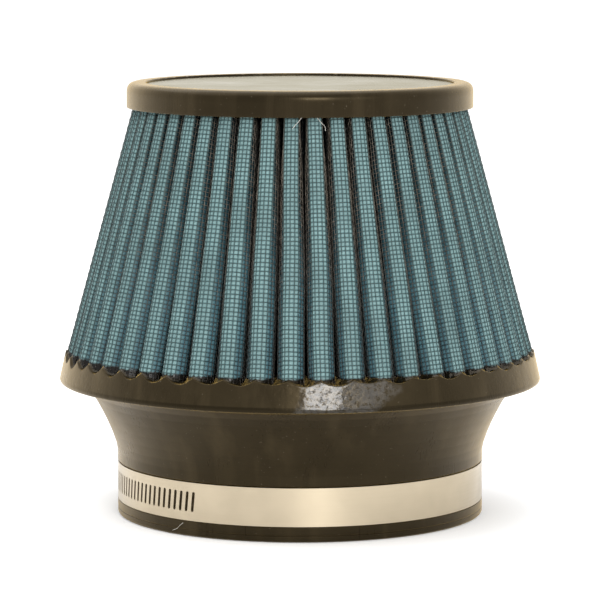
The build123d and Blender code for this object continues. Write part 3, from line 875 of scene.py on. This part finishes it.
def rim_dip(turn, folds):
    """How far the rim peaks against the crests, or hangs between them, round the ring."""
    gap = np.floor(folds).astype(int) % PLEATS
    leftward = 0.5 - 0.5 * np.cos(turn)
    uneven = np.array([noise.noise(Vector((k * 1.37, 2.2, 0.4))) for k in range(PLEATS)])
    deep = (RIM_DIP + RIM_DIP_LEFT * leftward**2 + RIM_DIP_STRAY * uneven[gap]) * MM
    in_gap = folds % 1 - 0.5
    return RIM_PEAK - deep * (0.5 + 0.5 * np.cos(TAU * in_gap)) ** 0.5


def pebbling(turn):
    """How pebbled the wall is round the ring, most where its skin cured glossy."""
    away = turn - WET_TURN
    wet = np.exp(-((np.sin(away) / WET_SPREAD) ** 2)) * (np.cos(away) > 0)
    ring = [Vector((math.cos(t) * 2.4, math.sin(t) * 2.4, 7)) for t in turn]
    return np.clip(0.35 + wet + 0.5 * np.array([noise.noise(place) for place in ring]), 0, 1.4)


def gaps_to_pack(radius, folds):
    """How far places on the ring's top lie from the pleated pack's outline, 0 inside it."""
    section = pleat_section(RING_TOP)
    crest_r = CREST_R * cone_scale(RING_TOP)
    aside = ((folds + 0.5) % 1 - 0.5) * 2 * HALF_PITCH
    side = radius * np.abs(np.sin(aside))[None, :]
    out = radius * np.cos(aside)[None, :]
    gaps = np.full(radius.shape, 1.0)
    for across, inwards in section:
        gaps = np.minimum(gaps, np.hypot(side - across, out - (crest_r - inwards)))
    gaps[side < np.interp(crest_r - out, section[:, 1], section[:, 0], left=-1)] = 0
    return gaps


def ring_relief(radius, angle, height):
    """The ring's skin: it peaks against each crest, dips between them and climbs the pleats' feet."""
    points = turned(radius, angle, height)
    coarse = smooth_noise(points, 7 * MM, 1.3).reshape(radius.shape)
    fine = smooth_noise(points, 2.2 * MM, 4.4).reshape(radius.shape)
    pebbles = smooth_noise(points, 0.9 * MM, 6.4).reshape(radius.shape)
    turn = angle[0]
    places = np.arange(-PLEATS, PLEATS + 1)
    folds = np.interp(turn, [pleat_angle(place) for place in places], places)
    dip, wet = rim_dip(turn, folds), pebbling(turn)

    wall = (radius > WALL_TOP_R - 0.15 * MM) & (height > (RING_FOOT + 0.2) * MM)
    rise = np.clip((height - RING_TOP + RIM_RISE) / RIM_RISE, 0, 1) ** 1.6
    top_edge = ease((height - RING_TOP + RIM_EDGE) / RIM_EDGE)
    above_edge = ease((height - (RING_FOOT + 0.5) * MM) / (1.5 * MM))
    out_wall = (0.03 * coarse + 0.03 * wet * fine + 0.025 * wet * pebbles) * MM * above_edge
    out_wall = out_wall - 0.2 * dip * rise
    up_wall = dip * rise + 0.12 * MM * fine * top_edge

    gaps = gaps_to_pack(radius, folds)
    behind = np.clip(WALL_TOP_R - radius, 0, None)
    level = dip * np.exp(-behind / (1.8 * MM)) - POOL_DEPTH * (1 - np.exp(-behind / (1.5 * MM)))
    climb = MENISCUS * np.exp(-gaps / MENISCUS_REACH) * (1 - np.exp(-behind / (0.8 * MM)))
    lumps = (0.22 * fine + 0.12 * pebbles) * MM * np.exp(-gaps / (2 * MM))
    on_top = (height > RING_TOP - 0.7 * MM) & ~wall
    return wall * out_wall, np.where(wall, up_wall, np.where(on_top, level + climb + lumps, 0))


def cap_outline():
    """Section of the cap from its underside, over its rim, to the seat of its recess."""
    foot, top = cap_low.z / MM, cap_high.z / MM
    seat = top - RECESS_DEPTH
    corners = [
        (1, foot, 0, 6),
        (CAP_R, foot, 0.25, 1),
        (CAP_R, top, 3.7, 1),
        (RECESS_R, top, 0.45, 0.5),
        (RECESS_R, seat, 0.2, 4),
        (1, seat, 0, 3),
    ]
    return rounded_outline(in_mm(corners), closed=False)


def cap_relief(radius, angle, height):
    """Slightly ragged trim line round the recess and a faint waviness of the rim."""
    points = turned(radius, angle, height)
    coarse = smooth_noise(points, 16 * MM, 2.2).reshape(radius.shape)
    ragged = smooth_noise(points, 1.6 * MM, 8.2).reshape(radius.shape)
    rim = radius > 50 * MM
    at_lip = (np.abs(radius - (RECESS_R + 0.2) * MM) < 0.6 * MM) & (height > cap_high.z - 1 * MM)
    return rim * 0.03 * MM * coarse, at_lip * np.clip(0.25 - ragged, -1, 0) * 0.35 * MM


def badge_outline():
    """Section of the disc, a hair above the seat of its recess."""
    middle, step = 1 * MM, 3 * MM
    edge, low, high = badge_high.x, badge_low.z + 0.02 * MM, badge_high.z
    corners = [
        (middle, low, 0, step),
        (edge, low, 0.05 * MM, step),
        (edge, high, 0.3 * MM, step),
        (middle, high, 0, step),
    ]
    return rounded_outline(corners, closed=False)


# ---------------------------------------------------------------- build
# the cotton's blues carry painted shade: the side colour is darker and bluer than the crest's, and the deep
# colours paint the valleys' shade and also tint the stains
GAUZE_CREST, GAUZE_SIDE, GAUZE_DEEP = (0.14, 0.228, 0.228), (0.052, 0.118, 0.138), (0.008, 0.013, 0.015)
INNER_GAUZE, INNER_GAUZE_DEEP = (0.22, 0.34, 0.34), (0.2, 0.3, 0.3)
materials = {
    "moulding": urethane("urethane_moulding", (0.007, 0.0052, 0.0028), (0.24, 0.40), 0.12),
    "ring": urethane("urethane_ring", (0.009, 0.0068, 0.0038), (0.22, 0.38), 0.3, wet=True),
    "cap": urethane("urethane_cap", (0.006, 0.0045, 0.0026), (0.20, 0.32), 0.06),
    "badge": badge_plastic(),
    "wire": wire_coat(),
    "inner_wire": bright_wire(),
    "lint": lint(),
    "gauze": gauze_cotton("gauze_blue", GAUZE_CREST, GAUZE_SIDE, GAUZE_DEEP),
    "inner_gauze": gauze_cotton("gauze_inner", INNER_GAUZE, INNER_GAUZE, INNER_GAUZE_DEEP),
    "stainless": stainless("stainless_strip", (0.521, 0.442, 0.321), (0.30, 0.46), 60),
    "housing": stainless("stainless_pressing", (0.60, 0.54, 0.44), (0.24, 0.42), 8),
    "screw": plated("zinc_plate", (0.60, 0.57, 0.52)),
    "clip": plated("clip_steel", (0.45, 0.44, 0.42)),
}

for node, material in (
    ("clamp_band", "stainless"),
    ("clamp_housing", "housing"),
    ("clamp_saddle", "housing"),
    ("clamp_screw", "screw"),
    ("seam_clip", "clip"),
):
    for material_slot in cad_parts[node].material_slots:
        material_slot.material = materials[material]

collar = lathe("collar_moulding", collar_outline(), 480, materials["moulding"], collar_relief)
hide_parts("base_flange")
lathe("potting_ring", ring_outline(), 20 * PLEATS, materials["ring"], ring_relief)
cap = lathe("cap_moulding", cap_outline(), 480, materials["cap"], cap_relief, solid=True)
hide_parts("end_cap")
badge = lathe("badge_face", badge_outline(), 360, materials["badge"], solid=True)
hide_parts("badge_disc")
pleated_pieces("outer_wires", pleat_wires, materials["wire"], ["outer_screen"])
pleated_pieces(
    "outer_gauze",
    partial(pleat_gauze, depth=0.19 * MM, puff=0.2 * MM),
    materials["gauze"],
    ["gauze_layer_1"],
)
for node, depth in INNER_LAYERS:
    pleated_pieces(
        node.replace("layer", "sheet"),
        partial(pleat_layer, depth=depth),
        materials["inner_gauze"],
        [node],
    )
pleated_pieces(
    "inner_wires",
    partial(valley_wires, depth=INNER_SCREEN_DEPTH),
    materials["inner_wire"],
    ["inner_screen"],
)


# ---------------------------------------------------------------- lint
def polar_point(radius, turn, height):
    """A point from its radius, its polar angle from the front in degrees and its height, in mm."""
    angle = math.radians(270 + turn)
    return radius * MM * math.cos(angle), radius * MM * math.sin(angle), height * MM


def fibre(name, corners):
    """A loose end of cotton: a thin hair along a soft curve through a few places."""
    path = smooth_curve([polar_point(*corner) for corner in corners], 10)
    along = np.gradient(path, axis=0)
    along /= np.linalg.norm(along, axis=1, keepdims=True)
    first = np.cross(along, (0.3, 0.9, 0.1))
    first /= np.linalg.norm(first, axis=1, keepdims=True)
    second = np.cross(along, first)
    points, quads = tubes(path[None], first[None], second[None], FIBRE_R)
    add_mesh(name, points, quads, materials["lint"])


for number, corners in enumerate(FIBRES, 1):
    fibre(f"loose_fibre_{number}", corners)


# ---------------------------------------------------------------- studio
def studio():
    world = bpy.data.worlds.new("studio")
    bpy.context.scene.world = world
    world.use_nodes = True
    sky = world.node_tree.nodes["Background"].inputs
    sky["Color"].default_value = (1, 1, 1, 1)
    sky["Strength"].default_value = WORLD_STRENGTH

    half = FLOOR_HALF
    floor_mesh = bpy.data.meshes.new("floor")
    corners = [(-half, -half, 0), (half, -half, 0), (half, half, 0), (-half, half, 0)]
    floor_mesh.from_pydata(corners, [], [(0, 1, 2, 3)])
    floor = bpy.data.objects.new("floor", floor_mesh)
    floor.location.z = -FLOOR_DROP
    bpy.context.scene.collection.objects.link(floor)
    paint = Shader("floor_paint", Base_Color=(0.95, 0.95, 0.95, 1), Roughness=0.9, Specular_IOR_Level=0.0)
    paint.set("Emission Color", (1, 1, 1, 1))
    paint.set("Emission Strength", 0.1)
    floor_mesh.materials.append(paint.material)

    for name, place, size, power in LIGHTS:
        lamp = bpy.data.lights.new(name, "AREA")
        lamp.shape = "RECTANGLE"
        lamp.size, lamp.size_y = size
        lamp.energy = power
        light = bpy.data.objects.new(name, lamp)
        light.location = place
        aim = Vector(LIGHT_AIM) - light.location
        light.rotation_euler = aim.to_track_quat("-Z", "Y").to_euler()
        bpy.context.scene.collection.objects.link(light)

    lens = bpy.data.cameras.new("camera")
    lens.sensor_width = CAMERA_SENSOR
    lens.lens = CAMERA_LENS
    camera = bpy.data.objects.new("camera", lens)
    camera.location = CAMERA_PLACE
    camera.rotation_euler = (math.pi / 2 - CAMERA_TILT, 0, 0)
    bpy.context.scene.collection.objects.link(camera)
    bpy.context.scene.camera = camera
    bpy.context.scene.view_settings.view_transform = "Standard"


studio()
